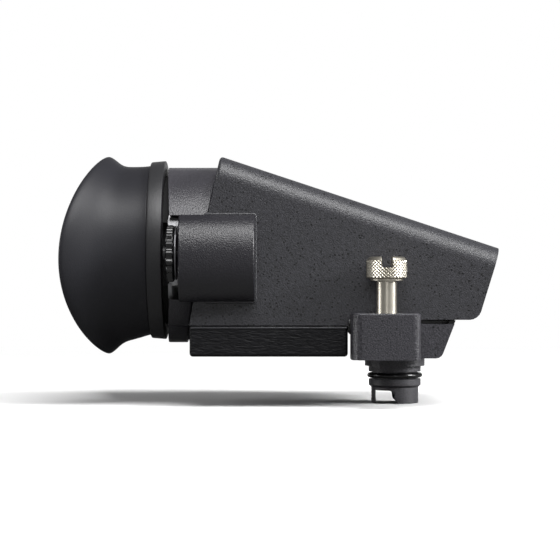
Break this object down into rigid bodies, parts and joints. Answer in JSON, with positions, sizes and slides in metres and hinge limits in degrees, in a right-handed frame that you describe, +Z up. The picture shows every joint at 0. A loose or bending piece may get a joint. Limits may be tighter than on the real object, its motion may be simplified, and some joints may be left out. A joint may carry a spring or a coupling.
{
  "type": "electronic viewfinder",
  "caption": "Electronic viewfinder: a wedge housing that tilts on its foot, with round rubber eyecup, dioptre wheel, captive thumbscrews and a round plug below.",
  "frame": {"origin": "on the plug's axis, in the plane of the foot's underside", "axes": "+X to the front, away from the eye; +Z up; -Y is the near side, with the dioptre wheel"},
  "size_m": [0.1347, 0.081, 0.0785],
  "materials": {
    "textured_paint": "fine textured paint",
    "dark_cover": "fine grain",
    "black_plastic": "semi-gloss",
    "black_anodised": "black anodised",
    "rubber": "matt",
    "nickel": "satin nickel",
    "steel": "plain",
    "gold": "gold plated",
    "glass": "coated",
    "board": "solder resist",
    "screen": "dark display",
    "flex": "polyimide film"
  },
  "bodies": {
    "foot": {"mounting_foot": "textured_paint", "hinge_yoke": "dark_cover", "hinge_shaft": "steel", "shaft_clip": "steel", "friction_washer_near": "steel", "friction_washer_far": "steel", "plug_shell": "textured_paint", "plug_nut": "steel", "plug_oring": "rubber", "plug_insulator": "black_plastic", "contact_board": "gold", "near_screw_bush": "steel", "far_screw_bush": "steel", "near_screw_spring": "steel", "far_screw_spring": "steel", "foot_flex": "flex", "yoke_screw_near": "steel", "yoke_screw_far": "steel"},
    "near_screw_carrier": {"near_spring_washer": "steel"},
    "near_screw": {"near_thumbscrew": "nickel", "near_screw_clip": "steel"},
    "far_screw_carrier": {"far_spring_washer": "steel"},
    "far_screw": {"far_thumbscrew": "nickel", "far_screw_clip": "steel"},
    "finder_housing": {"upper_casing": "textured_paint", "bottom_cover": "dark_cover", "cover_screw_1": "steel", "cover_screw_2": "steel", "cover_screw_3": "steel", "cover_screw_4": "steel", "eyepiece_tube": "textured_paint", "inner_barrel": "black_anodised", "diopter_housing": "textured_paint", "hinge_bracket": "steel", "bracket_screw_near": "steel", "bracket_screw_far": "steel", "main_board": "board", "display_frame": "black_plastic", "frame_screw_near": "steel", "frame_screw_far": "steel", "display_panel": "screen", "display_board": "board", "display_flex": "flex", "housing_flex": "flex", "lead_screw_bearing": "steel", "eyepiece_window": "glass", "window_retainer": "black_anodised", "wheel_washer": "steel"},
    "diopter_wheel": {"diopter_wheel": "black_plastic", "lead_screw": "steel"},
    "lens_group": {"lens_carriage": "black_anodised", "lens_1": "glass", "lens_2": "glass", "lens_3": "glass", "lens_retainer": "black_anodised"},
    "eyecup": {"eyecup_ring": "black_plastic", "eyecup_rubber": "rubber"}
  },
  "joints": [
    {"name": "housing_tilt", "type": "hinge", "parent": "foot", "child": "finder_housing", "pos_m": [0.0188, 0, 0.0146], "axis": [0, 1, 0], "range_deg": [0, 60]},
    {"name": "diopter_turn", "type": "hinge", "parent": "finder_housing", "child": "diopter_wheel", "pos_m": [-0.0711, -0.029, 0.0319], "axis": [1, 0, 0], "range_deg": [-240.2, 240.2]},
    {"name": "lens_focus", "type": "slide", "parent": "finder_housing", "child": "lens_group", "axis": [1, 0, 0], "range_m": [-0.002, 0.002]},
    {"name": "eyecup_turn", "type": "hinge", "parent": "finder_housing", "child": "eyecup", "pos_m": [-0.0775, 0, 0.03345], "axis": [1, 0, 0], "continuous": true},
    {"name": "near_screw_press", "type": "slide", "parent": "foot", "child": "near_screw_carrier", "axis": [0, 0, -1], "range_m": [0, 0.009], "stiffness_N_per_m": 80, "springref_m": -0.004, "deforming": ["near_screw_spring"]},
    {"name": "near_screw_turn", "type": "hinge", "parent": "near_screw_carrier", "child": "near_screw", "pos_m": [-0.00465, -0.034, 0], "axis": [0, 0, 1], "continuous": true},
    {"name": "far_screw_press", "type": "slide", "parent": "foot", "child": "far_screw_carrier", "axis": [0, 0, -1], "range_m": [0, 0.009], "stiffness_N_per_m": 80, "springref_m": -0.004, "deforming": ["far_screw_spring"]},
    {"name": "far_screw_turn", "type": "hinge", "parent": "far_screw_carrier", "child": "far_screw", "pos_m": [-0.00465, 0.034, 0], "axis": [0, 0, 1], "continuous": true}
  ],
  "couplings": [
    {"joint": "diopter_turn", "follows": "lens_focus", "rad_per_m": 2094.4}
  ]
}
